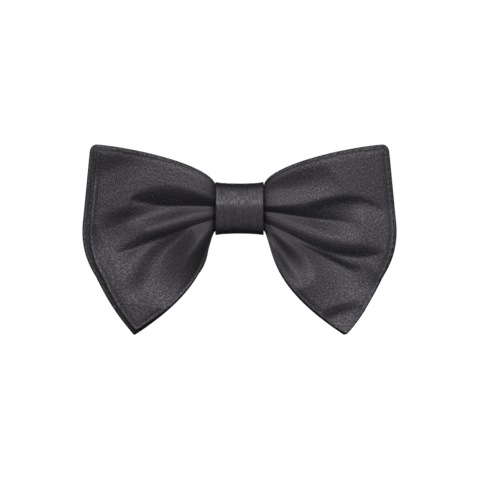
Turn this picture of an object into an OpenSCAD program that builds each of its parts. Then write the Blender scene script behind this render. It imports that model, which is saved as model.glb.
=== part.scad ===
// Pre-tied satin bow tie with a double-jawed collar clip.
// Millimetres, +Z up as worn. The front of the bow faces -Y and the collar is on the +Y side.
// The origin is the middle of the clip plate's rear face, level with the middle of the knot.

/* [Bow] */
// Width of the bow from side to side
bow_width = 120; // [104:1:136]
// Height of the upper corners above the middle of the knot
corner_height = 24.4; // [19.4:1:29.4]
// Drop of the lower tips below the middle of the knot
tip_drop = 48; // [40:1:58]
// Distance between the two lower tips
tip_spread = 80; // [66:1:92]
// Strip of the rear bow that shows past the front bow
rear_reveal = 1.6; // [0.8:0.2:3]
// Sideways shift of the front bow on the rear one
front_shift = 0.6; // [0:0.2:1.4]
// Depth of the front bow's pleats at the knot
pleat_depth = 4; // [2:0.2:4.4]

/* [Cloth] */
// Thickness of one satin panel
satin_thick = 0.4; // [0.3:0.05:0.6]
// Thickness of the interlining inside a bow
interlining_thick = 0.6; // [0.3:0.05:0.9]
// Diameter of the sewing thread
thread_d = 0.3; // [0.2:0.05:0.4]

/* [Knot] */
// Width of the knot wrap along the bow
knot_width = 18.4; // [14:0.2:22]
// Height of the knot
knot_height = 20; // [17:0.5:24]
// Thickness of the folded satin of the wrap
wrap_thick = 0.9; // [0.6:0.1:1.4]
// Thickness of the padding under the wrap
padding_thick = 0.6; // [0.4:0.1:1]

/* [Clip] */
// Length of the clip plate
plate_length = 49; // [46:1:56]
// Height of the clip plate
plate_height = 9.2; // [8.4:0.2:12]
// Sheet thickness of the clip plate
plate_thick = 0.8; // [0.6:0.1:1.2]
// Sheet thickness of the jaws
jaw_thick = 0.7; // [0.5:0.1:0.9]
// Diameter of the hinge pins
pin_d = 2; // [1.6:0.1:2.4]
// Wire diameter of the torsion springs
wire_d = 0.6; // [0.4:0.05:0.7]
// Slope of the finger tabs at rest, in degrees
tab_slope = 20; // [16:1:24]
// Length of the finger tabs from the hinge
tab_length = 10.5; // [8:0.5:11]

/* [Hidden] */
$fn = 48;

satin_colour = "#413e43";
lining_colour = "#1f1e20";
thread_colour = "#2a282c";
steel_colour = "#b9bbbd";
rubber_colour = "#26262a";

// Gap left between plies that lie on each other, so that their solids never share volume.
ply_gap = 0.05;
blank_thick = 2 * satin_thick + interlining_thick + 2 * ply_gap;

// The knot, from the plate outwards. Each ply has its own corner radius, so that they nest.
loop_gap = 0.1;
binding_corner = 1;
knot_corner = binding_corner + loop_gap + padding_thick + wrap_thick + ply_gap;
wrap_back_in = ply_gap;
wrap_back_out = wrap_back_in + wrap_thick;

// The two bows inside the knot. The rear bow's pleats are half as deep as the front bow's.
front_pleat = pleat_depth / 2;
rear_pleat = pleat_depth / 4;
plate_to_bow = 1.25;
bow_to_bow = 1.75;
rear_waist_y = -plate_thick - plate_to_bow - rear_pleat - blank_thick / 2;
front_waist_y = rear_waist_y - blank_thick - front_pleat - bow_to_bow;
bunch_front = front_waist_y - front_pleat - blank_thick / 2;
bunch_back = rear_waist_y + rear_pleat + blank_thick / 2;
padding_in = bunch_front - 2 * loop_gap - thread_d;
wrap_front_in = padding_in - padding_thick - ply_gap;
wrap_front_out = wrap_front_in - wrap_thick;
waist_height = knot_height / 2 - wrap_thick - padding_thick - 2 * ply_gap - 2 * loop_gap - thread_d;
// The cloth fans out from just inside the wrap's edge.
wrap_lip = 0.4;
waist_half = knot_width / 2 - wrap_lip;
// Above 1, the cloth's upper part is gathered less tightly than its lower part.
gather_power = 1.5;

// The wing's side point, the curve around it and the corner, from the bow's own sizes.
half_width = bow_width / 2;
corner_set_in = 3.4;
side_set_out = 0.6;
side_drop = 0.34 * tip_drop;
curve_below = 0.228 * tip_drop;
curve_above = 0.2375 * tip_drop;
// Shares of the outer edge, from the tip, where that curve starts and ends.
curve_start = 0.35;
curve_end = 0.62;
// How far the front bow stands in from the rear one at the corner's top and at the side point.
corner_inset = 0.6;
side_inset = 1.1;

// How the lower and upper edges bend: their two control points, as shares of the way from the
// knot to the tip or the corner, across and up. Lines between the edges grow straight.
lower_near = [0.18, 0.23];
lower_far = [0.09, 0.53];
upper_near = [0, 0.52];
upper_far = [0.7, 0.96];

// Depth of the two bows at their outer edges, and how far the front bow swells before it.
front_edge_y = front_waist_y + 2.6;
rear_edge_y = rear_waist_y + 0.2;
front_swell = 2.4;
rear_swell = 0.6;
// Below 1, the swell peaks nearer the knot. Above 1, the pleats fade faster as they leave the knot.
swell_power = 0.7;
fade_power = 1.4;
// The pleats' crests are this far apart across the cloth, with one crest at crest_at.
pleat_pitch = 0.34;
crest_at = 0.57;

// Mesh of the cloth: steps from the knot to the edge, across the waist, and from tip to corner.
wing_steps = 10;
waist_steps = 2;
cross_steps = 14;

// The clip.
lug_thick = plate_thick;
lug_z = plate_height / 2 - lug_thick;
jaw_gap = 0.3;
jaw_half = lug_z - jaw_gap;
pin_clearance = 0.05;
spring_clearance = 0.45;
coil_r = pin_d / 2 + spring_clearance + wire_d / 2;
coil_turns = 3;
coil_pitch = 1.25 * wire_d;
coil_half = coil_turns * coil_pitch / 2;
tab_clearance = 0.05;
tab_r = coil_r + wire_d / 2 + tab_clearance + jaw_thick / 2;
boss_wall = 1.1;
boss_r = pin_d / 2 + boss_wall;
boss_lift = 0.8;
hinge_y = boss_r + boss_lift;
jaw_reach = 9.2;
lip_set_in = 0.8;
hinge_x = plate_length / 2 - jaw_reach - lip_set_in;
pad_thick = 0.6;
pad_length = 4;
bite_gap = 0.3;
throat = 2.2;
pad_past_lip = 0.3;
head_rim = 0.6;
head_thick = 0.5;
notch_clearance = 0.4;
notch_half = knot_width / 2 + notch_clearance;
notch_depth = 1.2;
tooth_count = 5;
// Daylight under pieces that would otherwise touch along a whole face.
seat_gap = 0.02;

function lerp(a, b, u) = a + (b - a) * u;
function quadratic(a, b, c, u) = lerp(lerp(a, b, u), lerp(b, c, u), u);
function cubic(a, b, c, d, u) = lerp(quadratic(a, b, c, u), quadratic(b, c, d, u), u);
function unit(v) = v / norm(v);
function share(a, b) = [a[0] * b[0], a[1] * b[1]];

// Outer edge of a wing as [x, z], from its tip at t = 0 to its upper corner at t = 1.
// It is a straight stretch, a curve round the side point and another straight stretch.
function wing_tip(inset) = [tip_spread / 2, inset - tip_drop];
function wing_corner(inset) = [half_width - corner_set_in - inset, corner_height - corner_inset * inset];
function side_point(inset) = [half_width + side_set_out - side_inset * inset, -side_drop];
function outer_edge(t, inset) =
    let (
        side = side_point(inset),
        below = side + curve_below * unit(wing_tip(inset) - side),
        above = side + curve_above * unit(wing_corner(inset) - side)
    )
    t < curve_start ? lerp(wing_tip(inset), below, t / curve_start)
    : t < curve_end ? quadratic(below, side, above, (t - curve_start) / (curve_end - curve_start))
    : lerp(above, wing_corner(inset), (t - curve_end) / (1 - curve_end));

// A point of a wing as [x, z]: s runs from the knot outwards, t from the lower edge to the upper.
function waist_z(t) = waist_height * (2 * pow(t, gather_power) - 1);
function wing_point(s, t, inset) =
    let (
        root = [waist_half, waist_z(t)],
        rim = outer_edge(t, inset),
        middle = 1 - pow(1 - t, 3) - pow(t, 3),
        near = pow(1 - t, 3) * lower_near + middle * [1, 1] / 3 + pow(t, 3) * upper_near,
        far = pow(1 - t, 3) * lower_far + middle * [2, 2] / 3 + pow(t, 3) * upper_far
    )
    cubic(root, root + share(near, rim - root), root + share(far, rim - root), rim, s);

// Depth of a bow's middle surface. The pleats fade out towards the outer edge.
function pleat(t) = cos(360 * (t - crest_at) / pleat_pitch);
function bow_y(s, t, waist_y, edge_y, swell, depth) =
    lerp(waist_y, edge_y, s) - swell * sin(180 * pow(s, swell_power))
        - depth * pow(1 - s, fade_power) * pleat(t);

// Columns of points run from the left edge, through the waist, to the right edge.
function column_s(i) = max(0, abs(i - wing_steps - waist_steps / 2) - waist_steps / 2) / wing_steps;
function column_side(i) = sign(i - wing_steps - waist_steps / 2);
function cloth_point(i, j, ply_y, inset, shift, waist_y, edge_y, swell, depth) =
    let (
        s = column_s(i),
        side = column_side(i),
        t = j / cross_steps,
        p = wing_point(s, t, inset),
        x = side * p[0] * (s > 0 ? 1 : abs(i - wing_steps - waist_steps / 2) / (waist_steps / 2))
    )
    [x + shift * s, bow_y(s, t, waist_y, edge_y, swell, depth) + ply_y, p[1]];

// A sheet of cloth between two depths of a bow, as one closed solid.
module cloth(y0, y1, inset, shift, waist_y, edge_y, swell, depth) {
    columns = 2 * wing_steps + waist_steps + 1;
    rows = cross_steps + 1;
    layer = columns * rows;
    points = [
        for (y = [y0, y1]) for (i = [0:columns - 1]) for (j = [0:rows - 1])
            cloth_point(i, j, y, inset, shift, waist_y, edge_y, swell, depth)
    ];
    front = [
        for (i = [0:columns - 2]) for (j = [0:rows - 2])
            let (a = i * rows + j, b = a + rows)
            each [[a, a + 1, b + 1], [a, b + 1, b]]
    ];
    back = [for (f = front) [f[2] + layer, f[1] + layer, f[0] + layer]];
    rim = concat(
        [for (i = [0:columns - 1]) i * rows],
        [for (j = [1:rows - 1]) (columns - 1) * rows + j],
        [for (i = [columns - 2:-1:0]) i * rows + rows - 1],
        [for (j = [rows - 2:-1:1]) j]
    );
    sides = [
        for (k = [0:len(rim) - 1])
            let (a = rim[k], b = rim[(k + 1) % len(rim)])
            each [[a, b, b + layer], [a, b + layer, a + layer]]
    ];
    polyhedron(points = points, faces = concat(front, back, sides), convexity = 6);
}

// The plies of a blank, from its face at 0 to its back at 2.
function ply_start(k) = -blank_thick / 2
    + (k > 0 ? satin_thick + ply_gap : 0) + (k > 1 ? interlining_thick + ply_gap : 0);
function ply_thick(k) = k == 1 ? interlining_thick : satin_thick;
module front_ply(k) {
    cloth(ply_start(k), ply_start(k) + ply_thick(k), rear_reveal, front_shift,
        front_waist_y, front_edge_y, front_swell, front_pleat);
}
module rear_ply(k) {
    cloth(ply_start(k), ply_start(k) + ply_thick(k), 0, 0,
        rear_waist_y, rear_edge_y, rear_swell, rear_pleat);
}

module front_face_panel() { color(satin_colour) front_ply(0); }
module front_interlining() { color(lining_colour) front_ply(1); }
module front_back_panel() { color(satin_colour) front_ply(2); }
module rear_face_panel() { color(satin_colour) rear_ply(0); }
module rear_interlining() { color(lining_colour) rear_ply(1); }
module rear_back_panel() { color(satin_colour) rear_ply(2); }

// A flat rounded rectangle between two depths, drawn in the Y-Z plane and as long as width along X.
module knot_block(y0, y1, height, radius, width) {
    r = min(radius, (y1 - y0) / 2 - 0.01);
    rotate([90, 0, 90]) translate([(y0 + y1) / 2, 0, -width / 2]) linear_extrude(width) union() {
        square([y1 - y0 - 2 * r, height], center = true);
        square([y1 - y0, height - 2 * r], center = true);
        for (y = [-1, 1]) for (z = [-1, 1])
            translate([y * ((y1 - y0) / 2 - r), z * (height / 2 - r)]) circle(r);
    }
}
module knot_loop(y0, y1, height, radius, wall, width) {
    difference() {
        knot_block(y0, y1, height, radius, width);
        knot_block(y0 + wall, y1 - wall, height - 2 * wall, radius - wall, width + 1);
    }
}

// Thread wound round the gathered waists of both bows, one loop beside another.
module waist_binding_thread() {
    loops = 6;
    color(thread_colour) for (k = [0:loops - 1])
        translate([(k - (loops - 1) / 2) * 3 * thread_d, 0, 0])
            knot_loop(bunch_front - loop_gap - thread_d, bunch_back + loop_gap + thread_d,
                2 * (waist_height + loop_gap + thread_d), binding_corner, thread_d, thread_d);
}

// The wrap's free end laps over its other end across the back, where it is sewn down.
lap_end_z = 1.6;
lap_z = [-knot_height / 2 + knot_corner, lap_end_z];
module knot_wrap() {
    color(satin_colour) union() {
        knot_loop(wrap_front_out, wrap_back_out, knot_height, knot_corner, wrap_thick, knot_width);
        translate([-knot_width / 2, wrap_back_out, lap_z[0]])
            cube([knot_width, wrap_thick / 2, lap_z[1] - lap_z[0]]);
    }
}
// Padding under the front, top and bottom of the wrap. The clip plate takes its place at the back.
module knot_padding() {
    side_margin = 0.6;
    padding_height = knot_height - 2 * wrap_thick - 2 * ply_gap;
    color(lining_colour) difference() {
        knot_loop(wrap_front_in + ply_gap, wrap_back_in - ply_gap, padding_height,
            knot_corner - wrap_thick, padding_thick, knot_width - 2 * side_margin);
        translate([-knot_width, -plate_thick - plate_to_bow, -knot_height])
            cube([2 * knot_width, plate_thick + 2 * plate_to_bow, 2 * knot_height]);
    }
}
// Slanted overcast stitches along the lapped edge at the back of the knot.
module knot_closing_stitches() {
    stitches = 9;
    side_margin = 1.2;
    stitch_length = 2;
    stitch_lean = 25;
    pitch = (knot_width - 2 * side_margin) / (stitches - 1);
    stitch_y = wrap_back_out + wrap_thick / 2 + thread_d / 2 + seat_gap;
    color(thread_colour) for (k = [0:stitches - 1])
        translate([(k - (stitches - 1) / 2) * pitch, stitch_y, lap_z[1]]) rotate([0, stitch_lean, 0]) {
            cylinder(h = stitch_length, d = thread_d, center = true, $fn = 16);
            for (end = [-1, 1]) translate([0, 0, end * stitch_length / 2]) sphere(d = thread_d, $fn = 16);
        }
}

// Flat plate through the knot. The wrap sits in its notches, and folded lugs carry the hinge pins.
module clip_plate() {
    end_r = 2.6;
    end_x = plate_length / 2 - end_r;
    end_z = plate_height / 2 - end_r;
    color(steel_colour) difference() {
        union() {
            translate([0, -plate_thick, 0]) rotate([-90, 0, 0]) linear_extrude(plate_thick) difference() {
                union() {
                    square([2 * end_x, plate_height], center = true);
                    square([plate_length, 2 * end_z], center = true);
                    for (x = [-1, 1]) for (z = [-1, 1]) translate([x * end_x, z * end_z]) circle(end_r);
                }
                for (z = [-1, 1]) translate([0, z * plate_height / 2])
                    square([2 * notch_half, 2 * notch_depth], center = true);
            }
            for (x = [-1, 1]) for (z = [-1, 1]) translate([x * hinge_x, 0, z * (lug_z + lug_thick / 2)]) {
                translate([0, hinge_y, 0]) cylinder(h = lug_thick, r = boss_r, center = true);
                translate([-boss_r, -plate_thick, -lug_thick / 2])
                    cube([2 * boss_r, hinge_y + plate_thick, lug_thick]);
            }
        }
        for (x = [-1, 1]) translate([x * hinge_x, hinge_y, 0])
            cylinder(h = plate_height + 2, d = pin_d, center = true);
    }
}

// Outline of a bent strip of sheet along a line of points.
function strip_side(p, half) = [
    for (i = [0:len(p) - 1])
        let (
            before = i > 0 ? unit(p[i] - p[i - 1]) : unit(p[1] - p[0]),
            after = i < len(p) - 1 ? unit(p[i + 1] - p[i]) : before,
            mitre = unit([-before[1] - after[1], before[0] + after[0]])
        )
        p[i] + mitre * half / (mitre * [-before[1], before[0]])
];
function strip(p, thick) =
    let (near = strip_side(p, thick / 2), far = strip_side(p, -thick / 2))
    concat(near, [for (i = [len(far) - 1:-1:0]) far[i]]);

// Right-hand jaw, drawn round its hinge axis: finger tab, arm, folded ears and a toothed lip.
tab_dir = [-cos(tab_slope), sin(tab_slope)];
jaw_knee = tab_r * [sin(tab_slope), cos(tab_slope)];
tab_end = jaw_knee + tab_length * tab_dir;
lip_top = [jaw_reach, throat + jaw_thick / 2 - hinge_y];
lip_end = [jaw_reach, pad_thick + bite_gap - hinge_y];
module jaw() {
    ear_z = jaw_half - jaw_thick;
    tooth = 2 * jaw_half / tooth_count;
    tooth_r = 0.35 * tooth;
    roll_r = 0.9 * jaw_thick;
    // How far the ears run along the arm and along the tab.
    ear_reach = 2;
    ear_tail = 2.6;
    difference() {
        union() {
            translate([0, 0, -jaw_half]) linear_extrude(2 * jaw_half)
                polygon(strip([tab_end, jaw_knee, lip_top, lip_end], jaw_thick));
            translate([tab_end[0], tab_end[1], 0]) cylinder(h = 2 * jaw_half, r = roll_r, center = true);
            for (z = [-1, 1]) translate([0, 0, z * (ear_z + jaw_thick / 2)]) {
                cylinder(h = jaw_thick, r = boss_r, center = true);
                translate([0, 0, -jaw_thick / 2]) linear_extrude(jaw_thick) polygon([
                    [-boss_r, 0], [boss_r, 0],
                    jaw_knee + ear_reach * unit(lip_top - jaw_knee),
                    jaw_knee, jaw_knee + ear_tail * tab_dir
                ]);
            }
        }
        cylinder(h = plate_height, d = pin_d + 2 * pin_clearance, center = true);
        for (k = [1:tooth_count - 1]) translate([jaw_reach, lip_end[1], -jaw_half + k * tooth])
            rotate([0, 90, 0]) cylinder(h = 3 * jaw_thick, r = tooth_r, center = true, $fn = 4);
    }
}
module hinge_pin() {
    cylinder(h = plate_height, d = pin_d, center = true);
    for (z = [-1, 1]) translate([0, 0, z * (plate_height + head_thick) / 2])
        cylinder(h = head_thick, r = pin_d / 2 + head_rim, center = true);
}

// Torsion spring: a leg on the plate, a coil round the pin and a leg under the finger tab.
plate_leg_end = [-boss_r - 2.3, wire_d / 2 + seat_gap - hinge_y];
plate_leg_turn = atan2(plate_leg_end[1], plate_leg_end[0]) + acos(coil_r / norm(plate_leg_end));
coil_end_turn = 90 - tab_slope + 360 * coil_turns;
coil_steps = 22;
tab_leg_share = 0.6;
function spring_path() =
    let (
        span = coil_end_turn - plate_leg_turn,
        steps = ceil(span / 360 * coil_steps),
        last = coil_r * [cos(coil_end_turn), sin(coil_end_turn)],
        leg = tab_leg_share * tab_length * tab_dir
    )
    concat(
        [[plate_leg_end[0], plate_leg_end[1], -coil_half]],
        [for (k = [0:steps])
            let (a = plate_leg_turn + span * k / steps)
            [coil_r * cos(a), coil_r * sin(a), lerp(-coil_half, coil_half, k / steps)]],
        [[last[0] + leg[0], last[1] + leg[1], coil_half]]
    );
// Round wire swept along points that turn about the Z axis.
module wire(path, d, sides = 8) {
    n = len(path);
    points = [
        for (i = [0:n - 1])
            let (
                along = unit(path[min(i + 1, n - 1)] - path[max(i - 1, 0)]),
                across = unit(cross([0, 0, 1], along)),
                up = cross(along, across)
            )
            for (k = [0:sides - 1])
                let (a = 360 * k / sides)
                path[i] + d / 2 * (cos(a) * across + sin(a) * up)
    ];
    skin = [
        for (i = [0:n - 2]) for (k = [0:sides - 1])
            let (a = i * sides + k, b = i * sides + (k + 1) % sides)
            each [[a, a + sides, b + sides], [a, b + sides, b]]
    ];
    ends = [[for (k = [0:sides - 1]) k], [for (k = [sides - 1:-1:0]) (n - 1) * sides + k]];
    polyhedron(points = points, faces = concat(skin, ends), convexity = 8);
}

module grip_pad() {
    translate([jaw_reach + pad_past_lip - pad_length, seat_gap - hinge_y, -jaw_half])
        cube([pad_length, pad_thick - seat_gap, 2 * jaw_half]);
}

// Places a piece of the right-hand clip end, or its mirror image on the left.
module clip_end(side) {
    if (side > 0) translate([hinge_x, hinge_y, 0]) children();
    else mirror([1, 0, 0]) translate([hinge_x, hinge_y, 0]) children();
}

module spring() { wire(spring_path(), wire_d); }

module left_jaw() { color(steel_colour) clip_end(-1) jaw(); }
module left_hinge_pin() { color(steel_colour) clip_end(-1) hinge_pin(); }
module left_torsion_spring() { color(steel_colour) clip_end(-1) spring(); }
module left_grip_pad() { color(rubber_colour) clip_end(-1) grip_pad(); }
module right_jaw() { color(steel_colour) clip_end(1) jaw(); }
module right_hinge_pin() { color(steel_colour) clip_end(1) hinge_pin(); }
module right_torsion_spring() { color(steel_colour) clip_end(1) spring(); }
module right_grip_pad() { color(rubber_colour) clip_end(1) grip_pad(); }

front_face_panel();
front_interlining();
front_back_panel();
rear_face_panel();
rear_interlining();
rear_back_panel();
waist_binding_thread();
knot_wrap();
knot_padding();
knot_closing_stitches();
clip_plate();
left_jaw();
left_hinge_pin();
left_torsion_spring();
left_grip_pad();
right_jaw();
right_hinge_pin();
right_torsion_spring();
right_grip_pad();
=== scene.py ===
"""Looks of the satin bow tie: pleated cloth, wrapped knot, threads and a plated collar clip."""
import math

import bpy
import numpy as np
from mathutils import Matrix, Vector


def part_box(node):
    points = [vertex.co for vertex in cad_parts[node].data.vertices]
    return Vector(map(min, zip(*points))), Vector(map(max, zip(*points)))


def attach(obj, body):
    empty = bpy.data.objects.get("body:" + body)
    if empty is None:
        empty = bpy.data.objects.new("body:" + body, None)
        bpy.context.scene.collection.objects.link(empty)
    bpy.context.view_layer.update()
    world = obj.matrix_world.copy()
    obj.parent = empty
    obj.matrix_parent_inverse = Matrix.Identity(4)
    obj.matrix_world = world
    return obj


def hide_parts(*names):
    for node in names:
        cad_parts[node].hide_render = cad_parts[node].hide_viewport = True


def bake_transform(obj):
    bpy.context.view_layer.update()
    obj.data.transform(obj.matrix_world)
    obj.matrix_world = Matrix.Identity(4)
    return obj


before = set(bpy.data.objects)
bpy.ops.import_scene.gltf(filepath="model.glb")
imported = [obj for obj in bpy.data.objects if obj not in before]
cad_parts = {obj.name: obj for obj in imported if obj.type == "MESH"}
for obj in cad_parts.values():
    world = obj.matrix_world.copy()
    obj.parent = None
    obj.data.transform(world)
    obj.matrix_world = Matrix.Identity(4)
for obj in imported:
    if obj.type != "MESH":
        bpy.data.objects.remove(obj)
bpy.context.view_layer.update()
MM = 0.001


def node_box(name):
    """A CAD node's lowest and highest corners in millimetres."""
    low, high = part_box(name)
    return np.array(low) / MM, np.array(high) / MM


# --- Sizes, in millimetres -------------------------------------------------------------------

REAR_LOW, REAR_HIGH = node_box("rear_face_panel")
KNOT_LOW, KNOT_HIGH = node_box("knot_wrap")
PAD_LOW, PAD_HIGH = node_box("right_grip_pad")
PIN_LOW, PIN_HIGH = node_box("right_hinge_pin")

HALF_WIDTH = REAR_HIGH[0] + 0.8
CORNER_HEIGHT = REAR_HIGH[2] + 0.2
TIP_DROP = -REAR_LOW[2] + 0.5
TIP_SPREAD = 80.0
SIDE_DROP = 0.34 * TIP_DROP
SIDE_CURVE = 0.19 * TIP_DROP
CORNER_SET_IN = 3.4
# How far the front bow stands in from the rear one: along the side, and at the tip.
LEFT_REVEAL, RIGHT_REVEAL = (2.1, 1.8), (1.5, 0.5)
FRONT_SHIFT = 0.6

KNOT_HALF = KNOT_HIGH[0]
KNOT_TOP = KNOT_HIGH[2]
WRAP_THICK = 0.9
WAIST_HALF = KNOT_HALF - 0.4
WAIST_HEIGHT = 7.9
GATHER_POWER = 1.5

BLANK_THICK = 1.5
SATIN_THICK = 0.4
FRONT_WAIST_Y = -9.05 - BLANK_THICK / 2
REAR_WAIST_Y = -3.8 - BLANK_THICK / 2
FRONT_EDGE_Y = FRONT_WAIST_Y + 1.8
REAR_EDGE_Y = REAR_WAIST_Y + 0.2
THREAD_D = 0.3
UV_PER_MM = 0.01


# --- Mesh helpers ----------------------------------------------------------------------------

def mesh_object(name, points, faces, uvs=None):
    """A new mesh object from points in millimetres."""
    mesh = bpy.data.meshes.new(name)
    mesh.from_pydata([tuple(p) for p in np.asarray(points) * MM], [], faces)
    mesh.validate()
    mesh.polygons.foreach_set("use_smooth", [True] * len(mesh.polygons))
    if uvs is not None:
        layer = mesh.uv_layers.new(name="cloth")
        corner = np.zeros(len(mesh.loops), dtype=np.int32)
        mesh.loops.foreach_get("vertex_index", corner)
        layer.data.foreach_set("uv", np.asarray(uvs)[corner].astype(np.float32).ravel())
    mesh.update()
    obj = bpy.data.objects.new(name, mesh)
    bpy.context.scene.collection.objects.link(obj)
    return obj


def grid_faces(rows, columns, start=0, wrap=False, flip=False):
    """Quads of a grid whose points run row by row; wrap joins each row's ends."""
    faces = []
    for i in range(rows - 1):
        this, following = start + i * columns, start + (i + 1) * columns
        for j in range(columns if wrap else columns - 1):
            m = (j + 1) % columns
            quad = [this + j, this + m, following + m, following + j]
            faces.append(quad[::-1] if flip else quad)
    return faces


def shell(name, outer, inner, uv):
    """A closed sheet between two grids of points of the same shape."""
    rows, columns = outer.shape[:2]
    layer = rows * columns
    faces = grid_faces(rows, columns) + grid_faces(rows, columns, layer, flip=True)
    rim = [i * columns for i in range(rows)]
    rim += [(rows - 1) * columns + j for j in range(1, columns)]
    rim += [i * columns + columns - 1 for i in range(rows - 2, -1, -1)]
    rim += [j for j in range(columns - 2, 0, -1)]
    for k, a in enumerate(rim):
        b = rim[(k + 1) % len(rim)]
        faces.append([a, b, b + layer, a + layer])
    points = np.concatenate([outer.reshape(-1, 3), inner.reshape(-1, 3)])
    uvs = np.concatenate([uv.reshape(-1, 2), uv.reshape(-1, 2)])
    return mesh_object(name, points, faces, uvs=uvs)


def end_caps(rows, columns):
    """The two faces that close a grid of rings."""
    first = list(range(columns))[::-1]
    return [first, [(rows - 1) * columns + k for k in range(columns)]]


def tube(path, diameter, sides):
    """Points and faces of a round thread or wire along a path."""
    path = np.asarray(path, float)
    count = len(path)
    along = np.gradient(path, axis=0)
    along /= np.linalg.norm(along, axis=1)[:, None]
    side = np.cross(along[0], [0.0, 0.0, 1.0])
    if np.linalg.norm(side) < 0.1:
        side = np.cross(along[0], [1.0, 0.0, 0.0])
    angles = np.linspace(0, 2 * math.pi, sides, endpoint=False)
    cosines, sines = np.cos(angles)[:, None], np.sin(angles)[:, None]
    rings = []
    for k in range(count):
        side = side - along[k] * side.dot(along[k])
        side /= np.linalg.norm(side)
        up = np.cross(along[k], side)
        rings.append(path[k] + diameter / 2 * (cosines * side + sines * up))
    faces = grid_faces(count, sides, wrap=True, flip=True)
    faces += [face[::-1] for face in end_caps(count, sides)]
    return np.concatenate(rings), faces


def joined(name, pieces):
    """One object from several (points, faces) pairs."""
    points, faces, start = [], [], 0
    for piece_points, piece_faces in pieces:
        points.append(piece_points)
        faces += [[start + k for k in face] for face in piece_faces]
        start += len(piece_points)
    return mesh_object(name, np.concatenate(points), faces)


def smoothstep(low, high, value):
    """0 up to low, 1 from high, with a smooth rise between."""
    share = np.clip((value - low) / (high - low), 0, 1)
    return share * share * (3 - 2 * share)


def waves(rng, count, low, high):
    """Fixed random sine waves: (frequency, phase, weight) rows for soft uneven shapes."""
    return [(rng.uniform(low, high), rng.uniform(0, 2 * math.pi), rng.uniform(0.5, 1))
            for _ in range(count)]


def wave_sum(rows, value):
    """The waves added up at a value, from -1 to 1 at most."""
    total = sum(weight for _, _, weight in rows)
    added = sum(weight * np.sin(frequency * value + phase) for frequency, phase, weight in rows)
    return added / total


# --- The bows' outline, as the CAD has it ----------------------------------------------------

def lerp(a, b, u):
    """The value u of the way from a to b."""
    return a + (b - a) * u


def unit(v):
    return v / np.linalg.norm(v)


# How far the bend's own corner stands outside the side, and how much of the inset it and the
# wing's upper corner follow.
SIDE_OUT = 0.6
SIDE_INSET_SHARE, CORNER_INSET_SHARE = 1.1, 0.6
# The bend's arms below and above its corner, as shares of SIDE_CURVE, and where on the edge it
# starts and ends.
ARM_BELOW, ARM_ABOVE = 1.2, 1.25
BEND_START, BEND_END = 0.35, 0.62
# How far the edge between the tip and the bend swells outwards.
LOWER_BULGE = 1.0


def outer_edge(t, inset, tip_inset):
    """Points [x, z] on a wing's outer edge, from the tip at 0 to the upper corner at 1."""
    tip = np.array([TIP_SPREAD / 2, tip_inset - TIP_DROP])
    corner = np.array([HALF_WIDTH - CORNER_SET_IN - inset,
                       CORNER_HEIGHT - CORNER_INSET_SHARE * inset])
    side = np.array([HALF_WIDTH + SIDE_OUT - SIDE_INSET_SHARE * inset, -SIDE_DROP])
    below = side + SIDE_CURVE * ARM_BELOW * unit(tip - side)
    above = side + SIDE_CURVE * ARM_ABOVE * unit(corner - side)
    t = t[..., None]
    outward = unit(np.array([below[1] - tip[1], tip[0] - below[0]]))
    bulge = LOWER_BULGE * np.sin(np.pi * np.clip(t / BEND_START, 0, 1))
    low = lerp(tip, below, t / BEND_START) + bulge * outward
    u = np.clip((t - BEND_START) / (BEND_END - BEND_START), 0, 1)
    bend = lerp(lerp(below, side, u), lerp(side, above, u), u)
    high = lerp(above, corner, (t - BEND_END) / (1 - BEND_END))
    return np.where(t < BEND_START, low, np.where(t < BEND_END, bend, high))


# Control points of the lines that run out from the knot, as shares [x, z] of the way from the
# root to the rim: at the lower edge and at the upper one. Between, they are at 1/3 and 2/3.
LOWER_NEAR, LOWER_FAR = np.array([0.145, 0.235]), np.array([0.06, 0.53])
UPPER_NEAR, UPPER_FAR = np.array([0.0, 0.52]), np.array([0.7, 0.96])


def wing_flat(s, t, inset, tip_inset):
    """Points [x, z] of a wing: s runs outwards from the knot, t up from the lower edge."""
    root = np.stack([np.full_like(t, WAIST_HALF), WAIST_HEIGHT * (2 * t ** GATHER_POWER - 1)], -1)
    rim = outer_edge(t, inset, tip_inset)
    low, high = ((1 - t) ** 3)[..., None], (t ** 3)[..., None]
    between = 1 - low - high
    near = root + (low * LOWER_NEAR + between / 3 + high * UPPER_NEAR) * (rim - root)
    far = root + (low * LOWER_FAR + between * 2 / 3 + high * UPPER_FAR) * (rim - root)
    s = s[..., None]
    inner_half = (1 - s) ** 3 * root + 3 * s * (1 - s) ** 2 * near
    return inner_half + 3 * s * s * (1 - s) * far + s ** 3 * rim


# --- Folds -----------------------------------------------------------------------------------

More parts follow.
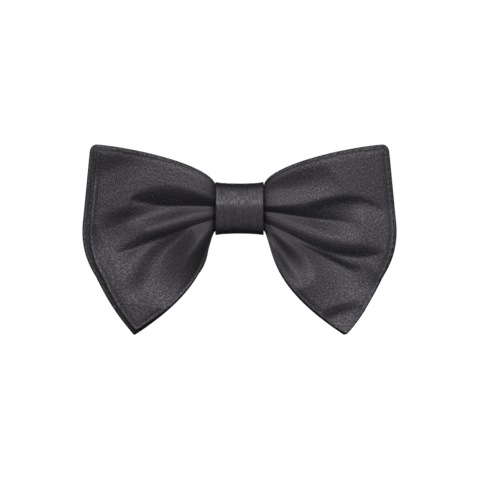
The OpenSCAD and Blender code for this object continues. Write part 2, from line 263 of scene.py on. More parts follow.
class Fold:
    """A pleat: a crease with a flank above it and one below.

    line holds four points [x, z] in millimetres, with x outwards from the knot. depth, above and
    below give the crease's depth and its flanks' widths at four even steps along it. sharp is 0
    where the flank above starts in a rounded trough and 1 where it starts in a crease.
    """

    NARROWEST = 0.5
    CREASE_R = 0.12

    def __init__(self, line, depth, above, below, sharp):
        line = np.array(line, float)
        lengths = np.linalg.norm(np.diff(line, axis=0), axis=1)
        run = np.concatenate([[0], np.cumsum(lengths)])
        run /= run[-1]
        self.curve = [np.polyfit(run, values, 3) for values in line.T]
        steps = np.linspace(0, 1, 4)
        self.depth, self.above, self.below = (np.polyfit(steps, values, 3)
                                              for values in (depth, above, below))
        self.sharp = sharp

    def recess(self, x, z):
        """How far the cloth stands back at each point."""
        samples = np.linspace(0, 1, 90)
        across_x = x[..., None] - np.polyval(self.curve[0], samples)
        across_z = z[..., None] - np.polyval(self.curve[1], samples)
        nearest = samples[np.argmin(across_x ** 2 + across_z ** 2, axis=-1)]
        place = [np.polyval(c, nearest) for c in self.curve]
        heading = [np.polyval(np.polyder(c), nearest) for c in self.curve]
        speed = np.hypot(*heading)
        gap_x, gap_z = x - place[0], z - place[1]
        u = np.clip(nearest + (gap_x * heading[0] + gap_z * heading[1]) / speed ** 2, 0, 1)
        across = (heading[0] * gap_z - heading[1] * gap_x) / speed
        width = np.where(across > 0, np.polyval(self.above, u), np.polyval(self.below, u))
        width = np.maximum(width, self.NARROWEST)
        q = np.clip((np.hypot(across, self.CREASE_R) - self.CREASE_R) / width, 0, 1)
        sharp = np.where(across > 0, self.sharp, 0.5 * self.sharp)
        profile = (1 - q) ** 2 * (1 + 2 * (1 - sharp) * q)
        return np.maximum(np.polyval(self.depth, u), 0) * profile


LEFT_FOLDS = [
    Fold([(8.8, 0.4), (18, 0.9), (29, 1.1), (42, 3.8)], (2.1, 3.8, 3.7, 0),
         (3, 7, 8.2, 1.6), (6, 9, 11, 11), 0.85),
    Fold([(22, -1.2), (34, -3.0), (43, -5.2), (54, -9)], (0, 1.5, 2.2, 0.8),
         (2.4, 4.6, 6.4, 8), (8, 12, 14, 14), 0.2),
    Fold([(36, -8), (43, -11.5), (49, -15), (57, -18)], (0, 1.0, 1.6, 1.0),
         (4, 8, 11, 12), (8, 12, 14, 14), 0.0),
    Fold([(8.8, -4.2), (22, -8.2), (35, -13.1), (49, -18.3)], (2.2, 3.5, 3.2, 0),
         (3.1, 5.6, 5.4, 2.6), (6, 10, 12, 12), 0.85),
    Fold([(18, -8.2), (26, -14.6), (33, -23.6), (38, -36)], (0, 3.3, 3.8, 0),
         (1.8, 6.6, 10, 7), (8, 15, 20, 20), 0.2),
    Fold([(9.2, -9), (12, -16), (16, -25), (22, -36)], (0.8, 2.7, 2.4, 0),
         (3.0, 6.4, 7.6, 6), (3, 3, 3, 3), 0.0),
    Fold([(31, 18.4), (40, 17), (49, 13.5), (57, 9.5)], (0, 0.9, 1.5, 1.4),
         (6, 7, 9, 10), (7, 7, 8, 8), 0.0),
]
RIGHT_FOLDS = [
    Fold([(8.8, -1.1), (19, -2.5), (30, -4.2), (46, -6)], (1.8, 3.6, 3.9, 0),
         (2.5, 5.4, 9.5, 9), (6, 9, 12, 12), 0.8),
    Fold([(25, -1.8), (35, 1.2), (46, 1.8), (56, -3.6)], (0, 1.2, 0.8, 0),
         (4, 3.8, 2.8, 2), (7, 9, 9, 8), 0.3),
    Fold([(8.8, -5.1), (21, -11.1), (32, -16), (55, -16.7)], (2.0, 3.6, 3.1, 0),
         (3.3, 6.4, 6.8, 3.0), (6, 12, 16, 16), 0.8),
    Fold([(20, -12.6), (29, -17.2), (37, -21.5), (46, -25)], (0, 1.0, 1.5, 0),
         (0.6, 1.8, 3.0, 3.6), (6, 14, 18, 18), 0.4),
    Fold([(24, -26), (36, -30), (46, -31), (54, -28)], (0, 0.7, 1.7, 0.5),
         (5, 9, 12, 10), (16, 18, 16, 14), 0.0),
    Fold([(11.5, -9.5), (15, -15.5), (19.5, -22), (25, -29)], (0.6, 2.5, 2.5, 0),
         (2, 4.8, 7, 6), (3, 4, 5, 5), 0.1),
    Fold([(9.4, 6.2), (17, 7), (26, 8.2), (36, 12.5)], (0.6, 1.5, 1.5, 0),
         (4, 8, 10, 8), (7, 10, 12, 12), 0.0),
    Fold([(31, -41.5), (36.5, -41.1), (41.5, -40), (47, -38)], (0, 1.2, 1.1, 0),
         (3.6, 4.8, 5.2, 4), (5, 6, 7, 7), 0.0),
]
REAR_FOLDS = [
    Fold([(8.8, 1.5), (20, 3.4), (32, 5), (44, 6)], (1.6, 1.5, 0.9, 0),
         (3, 4.5, 6, 7), (3, 4.5, 6, 7), 0.3),
    Fold([(8.8, -3.5), (20, -7.5), (32, -11.8), (44, -16)], (1.6, 1.5, 0.9, 0),
         (2.6, 4, 6, 7), (2.6, 4, 6, 7), 0.3),
]


# --- The two blanks --------------------------------------------------------------------------

# A wing's corners are rounded over these distances.
FRONT_CORNER_R, REAR_CORNER_R, TIP_R = 1.8, 3.2, 0.7
CORNER_PULL = 0.32
# How far a wing bellies forward between its root and its rim.
FRONT_SWELL, REAR_SWELL = 3.4, 0.8
ROOT_FORWARD = 1.0
# How far the lobes roll back at their edges: beside the knot, at the lower edge farther out, and
# at the rear bow's rim. Reaches and starts are shares of the wing.
ROOT_ROLL, ROOT_ROLL_REACH = 3.2, 0.34
UPPER_ROLL = 0.1
LOWER_ROLL, LOWER_ROLL_PEAK = 1.0, 0.42
REAR_ROLL_SHARE = 0.4
REAR_ROLL, REAR_ROLL_OUT, REAR_ROLL_LOW = 0.6, 0.08, 0.05
TIP_FORWARD = 4.2
TOP_FORWARD = 0.8
# Fine wrinkles where the cloth is gathered, and slow swells over the whole wing.
WRINKLE_DEPTH, WRINKLE_REACH, REAR_WRINKLES = 0.22, 0.10, 0.7
SLOW_DEPTH = 0.35
# Extra grid lines beside the edges, as shares of the wing, that round them smoothly.
EDGE_STEPS = np.array([0.0004, 0.0012, 0.0024])

rng = np.random.default_rng(7)
FINE_WRINKLES = {-1: waves(rng, 7, 60, 190), 1: waves(rng, 7, 60, 190)}
SLOW_SWELLS = {-1: waves(rng, 4, 3, 8), 1: waves(rng, 4, 3, 8)}
SLOW_RISES = {-1: waves(rng, 3, 2, 6), 1: waves(rng, 3, 2, 6)}


def rounded_corner(flat, corner, radius, inwards):
    """Pulls the points near a sharp corner inwards, which rounds it."""
    near = np.clip(1 - np.linalg.norm(flat - corner, axis=-1) / radius, 0, 1)
    return flat + (near ** 2)[..., None] * unit(np.array(inwards)) * radius * CORNER_PULL


def wing_surface(s, t, side, front):
    """Front surface of one wing, in millimetres."""
    if front:
        inset, tip_inset = LEFT_REVEAL if side < 0 else RIGHT_REVEAL
        folds = LEFT_FOLDS if side < 0 else RIGHT_FOLDS
        base, edge, swell, corner_r = FRONT_WAIST_Y, FRONT_EDGE_Y, FRONT_SWELL, FRONT_CORNER_R
        roll_share, wrinkle_share, shift = 1.0, 1.0, FRONT_SHIFT * s
    else:
        inset, tip_inset = 0.0, 0.0
        folds = REAR_FOLDS
        base, edge, swell, corner_r = REAR_WAIST_Y, REAR_EDGE_Y, REAR_SWELL, REAR_CORNER_R
        roll_share, wrinkle_share, shift = REAR_ROLL_SHARE, REAR_WRINKLES, 0 * s
    flat = wing_flat(s, t, inset, tip_inset)
    tip, corner = outer_edge(np.array([0.0, 1.0]), inset, tip_inset)
    flat = rounded_corner(flat, corner, corner_r, (-1, -0.9))
    flat = rounded_corner(flat, tip, TIP_R, (-0.25, 1))
    x, z = flat[..., 0], flat[..., 1]
    y = lerp(base - ROOT_FORWARD, edge, s ** 1.3) - swell * np.sin(math.pi * s ** 0.62)
    # The lobes roll back towards the blank's upper and lower edges near the knot.
    roll = ROOT_ROLL * np.exp(-s / ROOT_ROLL_REACH) * np.where(t < 0.5, 1.0, UPPER_ROLL)
    out = s / LOWER_ROLL_PEAK
    roll += LOWER_ROLL * np.where(t < 0.5, out * np.exp(1 - out), 0.0)
    y += roll_share * roll * np.abs(2 * t - 1) ** 3
    # The lower tips and, less so, the upper corners stand forward.
    y -= s * (TIP_FORWARD * np.clip(-z / TIP_DROP, 0, 1)
              + TOP_FORWARD * np.clip(z / CORNER_HEIGHT, 0, 1))
    if not front:
        y += REAR_ROLL * (np.clip((s - 1 + REAR_ROLL_OUT) / REAR_ROLL_OUT, 0, 1) ** 2
                          + s * np.clip((REAR_ROLL_LOW - t) / REAR_ROLL_LOW, 0, 1) ** 2)
    for fold in folds:
        y += fold.recess(x, z)
    near_knot = np.exp(-s / WRINKLE_REACH) * wrinkle_share
    y += WRINKLE_DEPTH * near_knot * wave_sum(FINE_WRINKLES[side], t)
    slow = wave_sum(SLOW_SWELLS[side], s + 0.6 * t) * wave_sum(SLOW_RISES[side], t)
    y += SLOW_DEPTH * s * slow
    return np.stack([side * x + shift, y, z], -1)


def blank(steps_out, steps_across, front):
    """Front surface of a whole blank from left to right, through the knot, with its UVs."""
    across = np.linspace(0, 1, steps_across)
    t = lerp(across, (1 - np.cos(math.pi * across)) / 2, 0.55)
    t = np.concatenate([[0], EDGE_STEPS, t[1:-1], 1 - EDGE_STEPS[::-1], [1]])
    out = np.linspace(0, 1, steps_out)
    s = lerp(out, np.sin(math.pi / 2 * out), 0.6) ** 1.25
    s = np.concatenate([s[:-1], 1 - EDGE_STEPS[::-1], [1]])
    s_grid, t_grid = np.meshgrid(s, t, indexing="ij")
    left = wing_surface(s_grid, t_grid, -1, front)[::-1]
    right = wing_surface(s_grid, t_grid, 1, front)
    through = np.linspace(0, 1, 9)[1:-1]
    waist = [lerp(left[-1], right[0], u) for u in through]
    points = np.concatenate([left, np.array(waist), right])
    length = s * HALF_WIDTH + WAIST_HALF
    length = np.concatenate([-length[::-1], lerp(-WAIST_HALF, WAIST_HALF, through), length])
    height = t * (CORNER_HEIGHT + TIP_DROP)
    uv = np.stack(np.meshgrid(length, height, indexing="ij"), -1) * UV_PER_MM
    return points, uv


def normals_back(points):
    """Unit normals of a grid, pointing to the back."""
    a = np.gradient(points, axis=0)
    b = np.gradient(points, axis=1)
    n = np.cross(a, b)
    n /= np.linalg.norm(n, axis=-1)[..., None]
    return np.where(n[..., 1:2] < 0, -n, n)


def edge_distance(points):
    """Distance from each grid point to the blank's edge, along the grid."""
    across = np.linalg.norm(np.diff(points, axis=1), axis=-1)
    from_low = np.concatenate([np.zeros((len(points), 1)), np.cumsum(across, 1)], 1)
    from_high = from_low[:, -1:] - from_low
    along = np.linalg.norm(np.diff(points, axis=0), axis=-1)
    from_left = np.concatenate([np.zeros((1, points.shape[1])), np.cumsum(along, 0)], 0)
    from_right = from_left[-1:] - from_left
    return np.minimum(np.minimum(from_low, from_high), np.minimum(from_left, from_right))


# The pressed seam: how far in from the edge its groove runs, its depth and its width on either
# side.
SEAM_IN = 1.05
SEAM_DEPTH = 0.24
SEAM_OUTER, SEAM_INNER = 0.55, 1.1
# The interlining is half this thick at most, and keeps this far off the satin.
LINING_HALF, LINING_GAP = 0.32, 0.04


def blank_panels(prefix, steps_out, steps_across, front):
    """Face panel, interlining and back panel of one blank."""
    surface, uv = blank(steps_out, steps_across, front)
    back = normals_back(surface)
    edge = edge_distance(surface)
    middle = BLANK_THICK / 2
    rounding = 1 - np.clip(edge / (middle * 1.05), 0, 1)
    swell = middle * np.sqrt(1 - rounding ** 2)
    groove = (edge - SEAM_IN) / np.where(edge < SEAM_IN, SEAM_OUTER, SEAM_INNER)
    reach = np.maximum(swell - SEAM_DEPTH * np.exp(-groove ** 2), 0.02)
    ply = np.minimum(SATIN_THICK, reach * 0.8)

    def at(offset):
        return surface + back * (middle + offset)[..., None]

    face = shell(prefix + "_face_panel.cloth", at(-reach), at(-reach + ply), uv)
    rear = shell(prefix + "_back_panel.cloth", at(reach - ply), at(reach), uv)
    # The interlining takes every second point, and ends short of the edge.
    inner = (slice(3, -3, 2), slice(6, -6, 2))
    room = np.clip(reach - ply - LINING_GAP, 0.03, LINING_HALF)[inner][..., None]
    centre, lean = (surface + back * middle)[inner], back[inner]
    lining = shell(prefix + "_interlining.cloth", centre - lean * room, centre + lean * room,
                   uv[inner])
    return face, lining, rear


front_face, front_lining, front_back = blank_panels("front", 130, 112, True)
rear_face, rear_lining, rear_back = blank_panels("rear", 84, 72, False)


# --- The knot --------------------------------------------------------------------------------

KNOT_FRONT = KNOT_LOW[1]
KNOT_BACK = 0.05
# The strip starts on the back at one height, and laps over its own start up to the other.
LAP_START_Z, LAP_END_Z = -5.5, 1.6
LAP_THICK = 0.45
# How square the knot is seen from the side, in its front half and its back half: 2 is an ellipse,
# more is nearer to a rectangle.
FRONT_SQUARENESS, BACK_SQUARENESS = 8.0, 4.5


def loop_path(front, back, half_height, count):
    """Closed path round the knot in the Y-Z plane, from the back.

    Gives its [y, z] points, their outward normals and their places along the path.
    """
    middle, half_depth = (front + back) / 2, (back - front) / 2
    turn = np.linspace(0, 2 * math.pi, 8 * count, endpoint=False)
    power = 2 / np.where(np.cos(turn) < 0, FRONT_SQUARENESS, BACK_SQUARENESS)
    y = np.sign(np.cos(turn)) * np.abs(np.cos(turn)) ** power * half_depth
    z = np.sign(np.sin(turn)) * np.abs(np.sin(turn)) ** power * half_height
    y, z = np.append(y, y[0]), np.append(z, z[0])
    run = np.concatenate([[0], np.cumsum(np.hypot(np.diff(y), np.diff(z)))])
    even = np.linspace(0, run[-1], count, endpoint=False)
    path = np.stack([middle + np.interp(even, run, y), np.interp(even, run, z)], -1)
    along = np.roll(path, -1, 0) - np.roll(path, 1, 0)
    normal = np.stack([along[:, 1], -along[:, 0]], -1)
    normal /= np.linalg.norm(normal, axis=1)[:, None]
    return path, normal, even


def band(name, path, normal, run, half_width, thick, shape, lift, across):
    """A strip with two round edges, swept along a path in the Y-Z plane.

    lift raises it off the path, point by point. shape(x, y, z, h) gives a point's final place,
    where h is its height over the strip's middle. across is how many points span the width.
    """
    edge = thick / 2
    outer_x = np.linspace(-1, 1, across) * (half_width - edge)
    fold = np.linspace(math.pi / 2, -math.pi / 2, 9)[1:-1]
    section = [(x, edge) for x in outer_x]
    section += [(half_width - edge + edge * math.cos(a), edge * math.sin(a)) for a in fold]
    section += [(x, -edge) for x in outer_x[::-1]]
    section += [(-half_width + edge - edge * math.cos(a), edge * math.sin(a)) for a in fold[::-1]]
    rings, uvs = [], []
    for k in range(len(path)):
        ring = []
        for x, h in section:
            y, z = path[k] + normal[k] * (h + lift[k])
            ring.append(shape(x, y, z, h))
        rings.append(ring)
        uvs.append([(x * UV_PER_MM, run[k] * UV_PER_MM) for x, _ in section])
    points = np.array(rings).reshape(-1, 3)
    faces = grid_faces(len(path), len(section), wrap=True) + end_caps(len(path), len(section))
    return mesh_object(name, points, faces, uvs=np.array(uvs).reshape(-1, 2))


# Lengthwise creases in the wrap: shallow ridges, and stripes that tilt up or down.
WRAP_STREAKS = waves(np.random.default_rng(11), 12, 0.6, 4.5)
WRAP_TILTS = waves(np.random.default_rng(12), 9, 0.5, 3.5)
STREAK_DEPTH, STREAK_SLANT, INNER_STREAKS = 0.07, 0.06, 0.3
TILT = 0.045
# The knot is lower at the middle of its width, and flares over the outer part of it.
MIDDLE_PULL = 0.045
FLARE, FLARE_FROM = 0.018, 0.8
# Its front curves back at both sides, and above and below its most forward line.
SIDES_BACK = 0.35
FORWARD_Z = 1.0
UPPER_LEAN, LOWER_LEAN = (0.38, 2.4), (0.12, 2.0)


def front_share(y):
    """1 on the knot's front and 0 on its back."""
    return smoothstep(0.1 * KNOT_FRONT, 0.9 * KNOT_FRONT, y)


def stands_back(across, z):
    """How far the knot's front stands back, away from its most forward point."""
    from_line = z - FORWARD_Z
    slope, bend = UPPER_LEAN if from_line > 0 else LOWER_LEAN
    return SIDES_BACK * across ** 2 + slope * (math.hypot(from_line, bend) - bend)


def wrap_shape(x, y, z, h):
    """Gives the wrap its curves and its lengthwise creases."""
    across = x / KNOT_HALF
    flare = FLARE * max(0.0, abs(across) - FLARE_FROM) / (1 - FLARE_FROM)
    z *= 1 - MIDDLE_PULL * (1 - across ** 2) + flare
    streaks = STREAK_DEPTH * wave_sum(WRAP_STREAKS, x + STREAK_SLANT * z)
    streaks *= 1 if h > 0 else INNER_STREAKS
    tilts = TILT * wave_sum(WRAP_TILTS, x) * z
    y += front_share(y) * (stands_back(across, z) + tilts + streaks)
    return x, y, z


def padding_shape(x, y, z, h):
    """Gives the padding the wrap's curves."""
    across = x / KNOT_HALF
    y += front_share(y) * stands_back(across, z)
    return x, y, z * (1 - MIDDLE_PULL * (1 - across ** 2))


def knot_wrap():
    """Satin strip round the knot. It starts at the back under its own lapped end."""
    half_wrap = WRAP_THICK / 2
    path, normal, run = loop_path(KNOT_FRONT + half_wrap, KNOT_BACK + half_wrap,
                                  KNOT_TOP - half_wrap, 240)
    on_back = path[:, 0] > KNOT_BACK
    start, end = (int(np.argmin(np.where(on_back, np.abs(path[:, 1] - z), np.inf)))
                  for z in (LAP_START_Z, LAP_END_Z))
    count = len(path)
    up = 1 if path[(start + 1) % count, 1] > path[start, 1] else -1
    # Up from the start, over the top, down the front, under, and up the back again to the end.
    total = count + up * (end - start) % count
    order = [(start + up * k) % count for k in range(total)]
    travelled = np.arange(total) * (run[1] - run[0])
    # It rises off the path on the way to the place where it lies over its own start.
    lift = LAP_THICK * smoothstep(0.86, 0.97, np.arange(total) / count)
    return band("knot_wrap.cloth", path[order], normal[order], travelled, KNOT_HALF, WRAP_THICK,
                wrap_shape, lift, across=56)


def knot_padding():
    """Wadding under the front, top and bottom of the wrap."""
    inside, thick, narrower, ends_y = 1.3, 0.55, 0.7, -2.2
    path, normal, run = loop_path(KNOT_FRONT + inside, KNOT_BACK - 0.4, KNOT_TOP - inside, 140)
    count = len(path)
    keep = [k for k in range(count) if path[k, 0] < ends_y]
    first = keep[int(np.argmax(np.diff(keep + [keep[0] + count])))] + 1
    order = [k % count for k in range(first, first + count) if path[k % count, 0] < ends_y]
    return band("knot_padding.wadding", path[order], normal[order], run[:len(order)],
                KNOT_HALF - narrower, thick, padding_shape, np.zeros(len(order)), across=24)


def binding_thread():
    """One thread wound six times round the gathered waists."""
    turns, pitch = 6, 0.9
    low, high = node_box("waist_binding_thread")
    middle = THREAD_D / 2
    path, _, _ = loop_path(low[1] + middle, high[1] - middle, high[2] - middle, 90)
    route = []
    for k in range(turns * len(path)):
        y, z = path[k % len(path)]
        route.append(((k / len(path) - turns / 2) * pitch, y, z))
    return joined("waist_binding_thread.thread", [tube(route, THREAD_D, 8)])


def closing_stitches():
    """Slanted overcast stitches that hold the lapped end down."""
    count, edge_margin = 9, 2.4
    half_length, half_slant, uneven, sink = 0.95, 0.42, 0.05, 0.32
    pitch = (2 * KNOT_HALF - edge_margin) / (count - 1)
    _, high = node_box("knot_closing_stitches")
    u = np.linspace(0, 1, 15)
    z = LAP_END_Z + lerp(half_length, -half_length, u)
    y = high[1] - THREAD_D / 2 - sink * np.abs(2 * u - 1) ** 3
    pieces = []
    for k in range(count):
        middle = (k - (count - 1) / 2) * pitch + uneven * math.sin(3 * k)
        x = middle + lerp(-half_slant, half_slant, u)
        pieces.append(tube(np.stack([x, y, z], -1), THREAD_D, 8))
    return joined("knot_closing_stitches.thread", pieces)


# --- The clip's springs and pads -------------------------------------------------------------

COIL_TURNS = 3
WIRE_D = 0.6
HINGE = (PIN_LOW + PIN_HIGH) / 2
COIL_HALF = COIL_TURNS * WIRE_D * 1.25 / 2
PIN_R, COIL_GAP = 1, 0.45
COIL_R = PIN_R + COIL_GAP + WIRE_D / 2
TAB_SLOPE = math.radians(20)
BOSS_R = 2.1
# The leg on the plate reaches this far past the hinge's boss, just off the plate, and the other
# is this long under the tab.
PLATE_LEG, SEAT_GAP, TAB_LEG = 2.3, 0.02, 6.3


def torsion_spring(side):
    """A leg on the plate, a coil round the pin and a leg under the finger tab."""
    leg = np.array([-BOSS_R - PLATE_LEG, WIRE_D / 2 + SEAT_GAP - HINGE[1]])
    start = math.atan2(leg[1], leg[0]) + math.acos(COIL_R / np.hypot(*leg))
    end = math.pi / 2 - TAB_SLOPE + 2 * math.pi * COIL_TURNS
    turn = np.linspace(start, end, 170)
    z = np.linspace(-COIL_HALF, COIL_HALF, len(turn))
    coil = np.stack([COIL_R * np.cos(turn), COIL_R * np.sin(turn), z], -1)
    tab = np.array([-math.cos(TAB_SLOPE), math.sin(TAB_SLOPE), 0])
    u = np.linspace(0, 1, 10)[1:, None]
    lower = coil[0] + (np.array([leg[0], leg[1], -COIL_HALF]) - coil[0]) * u[::-1]
    upper = coil[-1] + tab * TAB_LEG * u
    path = np.concatenate([lower, coil, upper])
    path[:, 0] = side * (path[:, 0] + HINGE[0])
    path[:, 1] += HINGE[1]
    word = "left" if side < 0 else "right"
    return joined(word + "_torsion_spring.wire", [tube(path, WIRE_D, 14)])


def grip_pad(side):
    """Ribbed rubber strip on the plate under the jaw's teeth."""
    ribs, per_rib, rib_depth = 6, 8, 0.16
    corner, inside = 0.18, 0.02
    steps = ribs * per_rib + 1
    crest = 0.5 - 0.5 * np.cos(2 * math.pi * ribs * np.linspace(0, 1, steps))
    top = PAD_HIGH[1] - rib_depth * (1 - crest)
    x_in, x_out = PAD_LOW[0] + inside, PAD_HIGH[0] - inside
    rings = []
    for y, z in zip(top, np.linspace(PAD_LOW[2] + inside, PAD_HIGH[2] - inside, steps)):
        # Half a section: up the side, round the corner and onto the top.
        half = [(0, PAD_LOW[1]), (0, y - corner), (0.3 * corner, y - 0.3 * corner), (corner, y)]
        rings.append([(x_in + x, height, z) for x, height in half]
                     + [(x_out - x, height, z) for x, height in half[::-1]])
    points = np.array(rings).reshape(-1, 3)
    sides = len(rings[0])
    faces = grid_faces(steps, sides, wrap=True) + end_caps(steps, sides)
    if side < 0:
        points[:, 0] *= -1
        faces = [face[::-1] for face in faces]
    return joined(("left" if side < 0 else "right") + "_grip_pad.rubber", [(points, faces)])


wrap = knot_wrap()
padding = knot_padding()
binding = binding_thread()
stitches = closing_stitches()
springs = {side: torsion_spring(side) for side in (-1, 1)}
pads = {side: grip_pad(side) for side in (-1, 1)}


# --- Materials -------------------------------------------------------------------------------

class Shader:
    """A node material under construction: node() adds a node, link() joins two sockets."""

    def __init__(self, name, **sockets):
        self.material = bpy.data.materials.new(name)
        self.material.use_nodes = True
        self.tree = self.material.node_tree
        self.surface = self.tree.nodes["Principled BSDF"]
        for socket, value in sockets.items():
            self.surface.inputs[socket.replace("_", " ")].default_value = value

    def feed(self, made, inputs):
        """Links or sets a node's inputs, by name or number."""
        for key, value in inputs.items():
            if isinstance(value, bpy.types.NodeSocket):
                self.link(value, made.inputs[key])
            else:
                made.inputs[key].default_value = value

    def node(self, kind, inputs=None, **settings):
        made = self.tree.nodes.new("ShaderNode" + kind)
        for key, value in settings.items():
            setattr(made, key, value)
        self.feed(made, inputs or {})
        return made

    def link(self, source, target):
        self.tree.links.new(source, target)

    def coordinates(self, output, scale):
        source = self.node("TexCoord").outputs[output]
        return self.node("Mapping", {"Vector": source, "Scale": scale}).outputs["Vector"]

    def noise(self, vector, scale, detail=2.0, roughness=0.5):
        made = self.node("TexNoise", {"Vector": vector, "Scale": scale, "Detail": detail,
                                      "Roughness": roughness})
        return made.outputs["Fac"]

    def ramp(self, factor, stops):
        made = self.node("ValToRGB", {"Fac": factor})
        elements = made.color_ramp.elements
        while len(elements) < len(stops):
            elements.new(0.5)
        for element, (place, colour) in zip(elements, stops):
            element.position = place
            element.color = (*colour, 1)
        return made.outputs["Color"]

    def blend(self, factor, a, b, mode="MIX"):
        return self.node("Mix", {0: factor, 6: a, 7: b}, data_type="RGBA",
                         blend_type=mode).outputs[2]

    def maths(self, operation, a, b):
        return self.node("Math", {0: a, 1: b}, operation=operation).outputs[0]

    def bands(self, vector, scale, distortion, direction, **more):
        inputs = {"Vector": vector, "Scale": scale, "Distortion": distortion, **more}
        return self.node("TexWave", inputs, bands_direction=direction).outputs["Fac"]

    def bump(self, heights):
        """Chains (height socket, strength, distance in metres) into the surface's normal."""
        normal = None
        for height, strength, distance in heights:
            inputs = {"Height": height, "Strength": strength, "Distance": distance}
            if normal is not None:
                inputs["Normal"] = normal
            normal = self.node("Bump", inputs).outputs["Normal"]
        self.link(normal, self.surface.inputs["Normal"])


PER_MM = (1000, 1000, 1000)
CHARCOAL = (1.0, 0.94, 1.03)


def times(share, colour):
    return tuple(share * c for c in colour)


def satin(name, speckle_scale, level=1.0, roughness=0.52, grit=0.75):
    """Charcoal satin: fine specks on a dark ground, the bright ones painted glints of the floats,
    soft blotches and a fine twill.
    """
    shader = Shader(name, Roughness=roughness, Sheen_Weight=0.06, Sheen_Roughness=0.4,
                    Sheen_Tint=(0.62, 0.58, 0.66, 1), Specular_IOR_Level=0.9,
                    Specular_Tint=(1.0, 0.93, 1.06, 1))
    cloth = shader.coordinates("UV", speckle_scale)
    speckle = shader.noise(cloth, 130, 3, 0.62)
    blotch = shader.noise(shader.coordinates("Object", (1, 1, 1)), 90, 2)
    # Random speckle tone in the base colour; its brightest specks are painted glints of the
    # satin's floats.
    fine = shader.ramp(speckle, [(0.36, times(0.002 * level, CHARCOAL)),
                                 (0.5, times(0.016 * level, CHARCOAL)),
                                 (0.68, times(0.085 * level, CHARCOAL))])
    mottled = shader.ramp(blotch, [(0.3, (0.86, 0.86, 0.86)), (0.7, (1.1, 1.09, 1.1))])
    shader.link(shader.blend(1.0, fine, mottled, "MULTIPLY"),
                shader.surface.inputs["Base Color"])
    rough = shader.node("MapRange", {"Value": speckle, "From Min": 0.34, "From Max": 0.66,
                                     "To Min": roughness + 0.14, "To Max": roughness - 0.1})
    shader.link(rough.outputs[0], shader.surface.inputs["Roughness"])
    twill = shader.bands(shader.coordinates("UV", (1, 1, 1)), 110.0, 0.6, "DIAGONAL", Detail=1.0)
    shader.bump([(twill, 0.25, 0.00003), (speckle, grit, 0.0002)])
    return shader.material


def woven(name, colour, threads_per_mm=1.6):
    """Plain-woven interlining or wadding."""
    shader = Shader(name, Roughness=0.9, Sheen_Weight=0.2)
    place = shader.coordinates("Object", (1000 * threads_per_mm,) * 3)
    warp, weft = (shader.bands(place, 0.32, 1.2, direction) for direction in "XZ")
    grid = shader.maths("MAXIMUM", warp, weft)
    fuzz = shader.noise(place, 0.7, 4)
    shade = shader.maths("MULTIPLY", grid, fuzz)
    shader.link(shader.ramp(shade, [(0.1, times(0.5, colour)), (0.7, colour)]),
                shader.surface.inputs["Base Color"])
    shader.bump([(grid, 0.5, 0.00008), (fuzz, 0.4, 0.00005)])
    return shader.material


def twisted_thread(name, colour):
    """Thread with slanting plies and loose fibres."""
    shader = Shader(name, Roughness=0.6, Sheen_Weight=0.3)
    place = shader.coordinates("Object", PER_MM)
    plies = shader.bands(place, 1.4, 0.5, "DIAGONAL")
    fibre = shader.noise(place, 6, 3)
    shader.link(shader.ramp(fibre, [(0.3, times(0.6, colour)), (0.7, times(1.6, colour))]),
                shader.surface.inputs["Base Color"])
    shader.bump([(plies, 0.6, 0.00004), (fibre, 0.3, 0.00002)])
    return shader.material


def plated_steel(name, colour, roughness, grain, wear):
    """Nickel-plated pressed steel: fine grain, finger smudges and rubbed edges."""
    shader = Shader(name, Metallic=1.0, Roughness=roughness)
    place = shader.coordinates("Object", PER_MM)
    smudge = shader.noise(place, 0.22, 2, 0.4)
    grit = shader.noise(shader.coordinates("Object", grain), 1.0, 3)
    bevel = shader.node("Bevel", {"Radius": 0.0003}, samples=4)
    surface_normal = shader.node("NewGeometry").outputs["Normal"]
    match = shader.node("VectorMath", {0: bevel.outputs["Normal"], 1: surface_normal},
                        operation="DOT_PRODUCT")
    edge = shader.node("MapRange", {"Value": match.outputs["Value"], "From Min": 0.98,
                                    "From Max": 0.75})
    worn = shader.maths("MULTIPLY", edge.outputs[0], shader.maths("MULTIPLY", smudge, wear))
    plain = shader.ramp(smudge, [(0.3, times(0.94, colour)), (0.7, colour)])
    shader.link(shader.blend(worn, plain, (0.46, 0.40, 0.30, 1)),
                shader.surface.inputs["Base Color"])
    rough = shader.node("MapRange", {"Value": smudge, "To Min": roughness * 0.85,
                                     "To Max": roughness * 1.25})
    shader.link(rough.outputs[0], shader.surface.inputs["Roughness"])
    shader.bump([(grit, 0.12, 0.00003)])
    return shader.material


def rubber(name):
    """Dark rubber with dust in its grain."""
    shader = Shader(name, Roughness=0.75, Specular_IOR_Level=0.35)
    place = shader.coordinates("Object", PER_MM)
    grain = shader.noise(place, 5, 4)
    dust = shader.noise(place, 0.8, 3)
    shader.link(shader.ramp(dust, [(0.35, (0.012, 0.012, 0.013)), (0.75, (0.035, 0.034, 0.034))]),
                shader.surface.inputs["Base Color"])
    shader.bump([(grain, 0.35, 0.00004)])
    return shader.material


satin_wing = satin("satin_wing", (1.15, 0.85, 1))
satin_knot = satin("satin_knot", (1.5, 0.45, 1), level=0.67, roughness=0.48, grit=0.5)
satin_inside = satin("satin_inside", (1.15, 0.85, 1), level=0.8)
lining = woven("lining", (0.016, 0.015, 0.017))
wadding = woven("wadding", (0.030, 0.028, 0.031), 1.0)
thread = twisted_thread("thread", (0.022, 0.020, 0.024))
clip_steel = plated_steel("clip_steel", (0.74, 0.73, 0.71), 0.24, (900, 900, 900), 1.6)
pin_steel = plated_steel("pin_steel", (0.70, 0.69, 0.67), 0.2, (700, 700, 3000), 1.2)
wire_steel = plated_steel("wire_steel", (0.55, 0.54, 0.53), 0.3, (3000, 3000, 3000), 0.8)
grip_rubber = rubber("grip_rubber")


# --- What each piece rides on, stands for and is finished as ----------------------------------

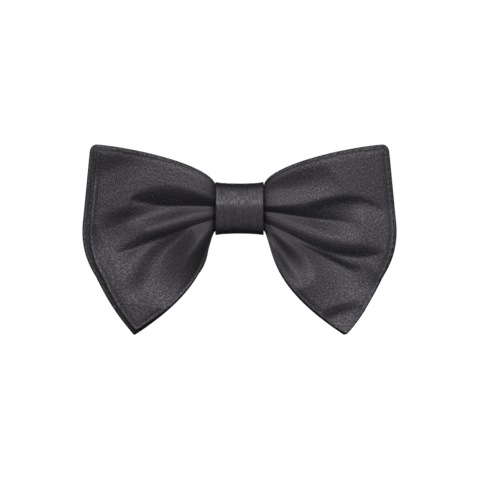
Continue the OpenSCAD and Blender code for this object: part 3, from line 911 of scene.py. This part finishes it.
def place(piece, body, node, slot, material):
    """A new piece that stands for one CAD node."""
    piece.data.materials.clear()
    piece.data.materials.append(material)
    if body:
        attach(piece, body)
    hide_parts(node)


place(front_face, "root", "front_face_panel", "satin", satin_wing)
place(front_lining, "root", "front_interlining", "lining", lining)
place(front_back, "root", "front_back_panel", "satin", satin_inside)
place(rear_face, "root", "rear_face_panel", "satin", satin_wing)
place(rear_lining, "root", "rear_interlining", "lining", lining)
place(rear_back, "root", "rear_back_panel", "satin", satin_inside)
place(wrap, "root", "knot_wrap", "satin", satin_knot)
place(padding, "root", "knot_padding", "lining", wadding)
place(binding, "root", "waist_binding_thread", "thread", thread)
place(stitches, "root", "knot_closing_stitches", "thread", thread)
for side, word in ((-1, "left"), (1, "right")):
    place(pads[side], "root", word + "_grip_pad", "grip_rubber", grip_rubber)
    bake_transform(springs[side])
    place(springs[side], None, word + "_torsion_spring", "spring_steel", wire_steel)

for name, material in (("clip_plate", clip_steel), ("left_jaw", clip_steel),
                       ("right_jaw", clip_steel), ("left_hinge_pin", pin_steel),
                       ("right_hinge_pin", pin_steel)):
    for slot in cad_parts[name].material_slots:
        slot.material = material


# --- Floor, light and camera -----------------------------------------------------------------

FLOOR_Z = -0.25
FLOOR_RADIUS = 2.2
bpy.ops.mesh.primitive_circle_add(vertices=96, radius=FLOOR_RADIUS, fill_type="NGON",
                                  location=(0, 0, FLOOR_Z))
floor = bpy.context.object
floor.name = "floor"
floor_shader = Shader("floor", Roughness=0.9, Emission_Strength=0.5)
floor_shader.surface.inputs["Emission Color"].default_value = (1, 1, 1, 1)
floor_place = floor_shader.coordinates("Object", (1, 1, 1))
mottle = floor_shader.noise(floor_place, 1.5)
floor_shader.link(floor_shader.ramp(mottle, [(0.3, (0.8, 0.8, 0.8)), (0.7, (0.83, 0.83, 0.83))]),
                  floor_shader.surface.inputs["Base Color"])
reach = floor_shader.node("VectorMath", {0: floor_place}, operation="LENGTH").outputs["Value"]
fade = floor_shader.node("MapRange", {"Value": reach, "From Min": 0.35 * FLOOR_RADIUS,
                                      "From Max": FLOOR_RADIUS, "To Min": 1.0, "To Max": 0.0},
                         interpolation_type="SMOOTHSTEP")
floor_shader.link(fade.outputs[0], floor_shader.surface.inputs["Alpha"])
floor.data.materials.append(floor_shader.material)
floor.visible_glossy = floor.visible_diffuse = False

world = bpy.data.worlds.new("studio")
bpy.context.scene.world = world
world.use_nodes = True
world_tree = world.node_tree
backdrop = world_tree.nodes["Background"]
backdrop.inputs["Color"].default_value = (1, 1, 1, 1)
path_kind = world_tree.nodes.new("ShaderNodeLightPath")
strength = world_tree.nodes.new("ShaderNodeMapRange")
AMBIENT, SEEN_BACKDROP = 0.035, 1.05
strength.inputs["To Min"].default_value = AMBIENT
strength.inputs["To Max"].default_value = SEEN_BACKDROP
world_tree.links.new(path_kind.outputs["Is Camera Ray"], strength.inputs["Value"])
world_tree.links.new(strength.outputs[0], backdrop.inputs["Strength"])


def soft_light(name, place, aim, size, power):
    light = bpy.data.lights.new(name, "AREA")
    light.shape = "RECTANGLE"
    light.size, light.size_y = size
    light.energy = power
    obj = bpy.data.objects.new(name, light)
    obj.location = place
    obj.rotation_euler = (Vector(aim) - Vector(place)).to_track_quat("-Z", "Y").to_euler()
    bpy.context.scene.collection.objects.link(obj)


BOW_CENTRE = (0, -0.01, -0.012)
soft_light("key", (0.03, -1.0, 0.42), BOW_CENTRE, (1.1, 0.6), 8.9)
soft_light("back", (0.15, 1.2, 0.2), BOW_CENTRE, (1.2, 0.8), 11)

VIEW_WIDTH = 182.4 * MM
VIEW_DISTANCE = 1.5
camera = bpy.data.cameras.new("camera")
camera.sensor_width = 36
camera.lens = camera.sensor_width * VIEW_DISTANCE / VIEW_WIDTH
camera_object = bpy.data.objects.new("camera", camera)
camera_object.location = (0.00019, -0.008 - VIEW_DISTANCE, -0.012)
camera_object.rotation_euler = (math.pi / 2, 0, 0)
bpy.context.scene.collection.objects.link(camera_object)
bpy.context.scene.camera = camera_object

scene = bpy.context.scene
scene.view_settings.view_transform = "Standard"
scene.view_settings.look = "None"


bpy.context.view_layer.update()
